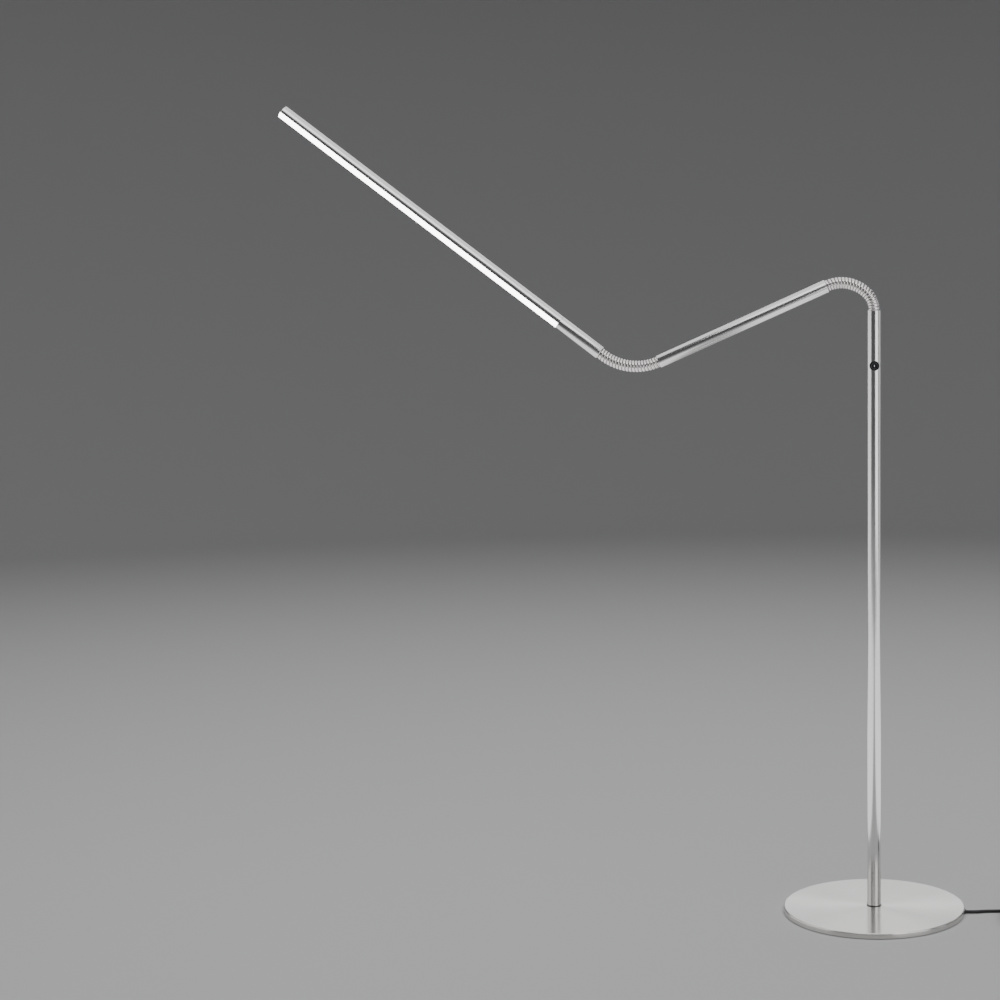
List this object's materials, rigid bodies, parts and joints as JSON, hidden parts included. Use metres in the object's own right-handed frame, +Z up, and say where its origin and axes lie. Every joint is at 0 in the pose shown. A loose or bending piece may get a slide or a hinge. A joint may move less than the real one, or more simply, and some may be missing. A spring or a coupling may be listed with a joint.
{
  "type": "gooseneck reading floor lamp",
  "caption": "Floor lamp with a heavy round base, slim pole with push button, ribbed goosenecks either side of an arm, and a long light bar.",
  "frame": {"origin": "centre of the base's underside, on the pole's axis", "axes": "+Z up along the pole, -X towards the light bar, -Y towards a person who faces the button"},
  "size_m": [1.2872, 0.3, 1.3359],
  "materials": {
    "base_metal": "turned, fine brushing, clear lacquer",
    "tube_metal": "satin, brushed along the tube",
    "bar_metal": "satin anodised, brushed along the bar",
    "neck_metal": "satin ribs",
    "hardware_steel": "zinc plated",
    "weight_iron": "painted",
    "pad_rubber": "soft foam rubber",
    "black_rubber": "matt",
    "cord_jacket": "matt jacket",
    "adaptor_plastic": "fine texture",
    "pin_metal": "nickel plated",
    "button_black": "glossy",
    "bezel_black": "glossy",
    "circuit_board": "solder mask",
    "lead_jacket": "matt",
    "nylon": "matt",
    "opal_diffuser": "opal, satin, lit from inside",
    "led_board_white": "white solder mask",
    "led_yellow": "phosphor"
  },
  "bodies": {
    "stand": {"base_cover": "base_metal", "base_weight": "weight_iron", "base_pad": "pad_rubber", "cord_grommet": "black_rubber", "cord_stop": "nylon", "base_cord": "cord_jacket", "supply_cord": "cord_jacket", "supply_cord_coil": "cord_jacket", "wall_adaptor": "adaptor_plastic", "adaptor_pins": "pin_metal", "adaptor_sleeve": "black_rubber", "pole_tube": "tube_metal", "pole_foot_plug": "hardware_steel", "foot_ring": "black_rubber", "pole_stud": "hardware_steel", "stud_nut": "hardware_steel", "pole_lead": "lead_jacket", "pole_feed": "lead_jacket", "dimmer_board": "circuit_board", "switch_bezel": "bezel_black", "pole_socket": "hardware_steel"},
    "button": {"switch_button": "button_black"},
    "upper_link_1": {"upper_neck_section_1": "neck_metal"},
    "upper_link_2": {"upper_neck_section_2": "neck_metal"},
    "upper_link_3": {"upper_neck_section_3": "neck_metal", "upper_neck_lead": "lead_jacket"},
    "upper_link_4": {"upper_neck_section_4": "neck_metal"},
    "upper_link_5": {"upper_neck_section_5": "neck_metal"},
    "upper_link_6": {"upper_neck_section_6": "neck_metal"},
    "arm": {"arm_tube": "tube_metal", "arm_lead": "lead_jacket", "arm_upper_socket": "hardware_steel", "arm_lower_socket": "hardware_steel"},
    "lower_link_1": {"lower_neck_section_1": "neck_metal"},
    "lower_link_2": {"lower_neck_section_2": "neck_metal"},
    "lower_link_3": {"lower_neck_section_3": "neck_metal", "lower_neck_lead": "lead_jacket"},
    "lower_link_4": {"lower_neck_section_4": "neck_metal"},
    "lower_link_5": {"lower_neck_section_5": "neck_metal"},
    "lower_link_6": {"lower_neck_section_6": "neck_metal"},
    "head": {"collar_tube": "tube_metal", "collar_socket": "hardware_steel", "head_lead": "lead_jacket", "bar_joiner": "hardware_steel", "bar_housing": "bar_metal", "bar_diffuser": "opal_diffuser", "led_board": "led_board_white", "led_chips": "led_yellow", "board_screws": "hardware_steel", "bar_end_cap": "bar_metal"}
  },
  "joints": [
    {"name": "button_press", "type": "slide", "parent": "stand", "child": "button", "axis": [0, 1, 0], "range_m": [0, 0.001], "stiffness_N_per_m": 800},
    {"name": "upper_turn", "type": "hinge", "parent": "stand", "child": "upper_link_1", "pos_m": [0, 0, 0.997], "axis": [0, 0, 1], "continuous": true},
    {"name": "upper_bend_1", "type": "hinge", "parent": "upper_link_1", "child": "upper_link_2", "pos_m": [-0.00134, 0, 1.00728], "axis": [0, -1, 0], "range_deg": [-29.79, 3], "deforming": ["upper_neck_section_1"]},
    {"name": "upper_bend_2", "type": "hinge", "parent": "upper_link_2", "child": "upper_link_3", "pos_m": [-0.01156, 0, 1.02513], "axis": [0, -1, 0], "range_deg": [-25.21, 2.54], "deforming": ["upper_neck_section_2"]},
    {"name": "upper_bend_3", "type": "hinge", "parent": "upper_link_3", "child": "upper_link_4", "pos_m": [-0.02851, 0, 1.037], "axis": [0, -1, 0], "range_deg": [-19.73, 1.99], "deforming": ["upper_neck_section_3", "upper_neck_lead"]},
    {"name": "upper_bend_4", "type": "hinge", "parent": "upper_link_4", "child": "upper_link_5", "pos_m": [-0.04848, 0, 1.04245], "axis": [0, -1, 0], "range_deg": [-19.73, 1.99], "deforming": ["upper_neck_section_4"]},
    {"name": "upper_bend_5", "type": "hinge", "parent": "upper_link_5", "child": "upper_link_6", "pos_m": [-0.06912, 0, 1.04084], "axis": [0, -1, 0], "range_deg": [-19.73, 1.99], "deforming": ["upper_neck_section_5", "upper_neck_section_6"]},
    {"name": "upper_counter_turn", "type": "hinge", "parent": "upper_link_6", "child": "arm", "pos_m": [-0.07892, 0, 1.03742], "axis": [-0.9121, 0, -0.4099], "continuous": true},
    {"name": "lower_turn", "type": "hinge", "parent": "arm", "child": "lower_link_1", "pos_m": [-0.35803, 0, 0.91198], "axis": [-0.9121, 0, -0.4099], "continuous": true},
    {"name": "lower_bend_1", "type": "hinge", "parent": "lower_link_1", "child": "lower_link_2", "pos_m": [-0.36774, 0, 0.90827], "axis": [0, -1, 0], "range_deg": [-13.5, 13.1], "deforming": ["lower_neck_section_1"]},
    {"name": "lower_bend_2", "type": "hinge", "parent": "lower_link_2", "child": "lower_link_3", "pos_m": [-0.38811, 0, 0.90427], "axis": [0, -1, 0], "range_deg": [-13.5, 13.1], "deforming": ["lower_neck_section_2"]},
    {"name": "lower_bend_3", "type": "hinge", "parent": "lower_link_3", "child": "lower_link_4", "pos_m": [-0.40885, 0, 0.90499], "axis": [0, -1, 0], "range_deg": [-13.5, 13.1], "deforming": ["lower_neck_section_3", "lower_neck_lead"]},
    {"name": "lower_bend_4", "type": "hinge", "parent": "lower_link_4", "child": "lower_link_5", "pos_m": [-0.42889, 0, 0.91039], "axis": [0, -1, 0], "range_deg": [-13.5, 13.1], "deforming": ["lower_neck_section_4"]},
    {"name": "lower_bend_5", "type": "hinge", "parent": "lower_link_5", "child": "lower_link_6", "pos_m": [-0.44718, 0, 0.9202], "axis": [0, -1, 0], "range_deg": [-9.35, 9.06], "deforming": ["lower_neck_section_5", "lower_neck_section_6"]},
    {"name": "lower_counter_turn", "type": "hinge", "parent": "lower_link_6", "child": "head", "pos_m": [-0.45551, 0, 0.92642], "axis": [-0.796, 0, 0.6053], "continuous": true}
  ],
  "couplings": [
    {"joint": "upper_counter_turn", "follows": "upper_turn", "ratio": -1},
    {"joint": "lower_counter_turn", "follows": "lower_turn", "ratio": -1}
  ]
}
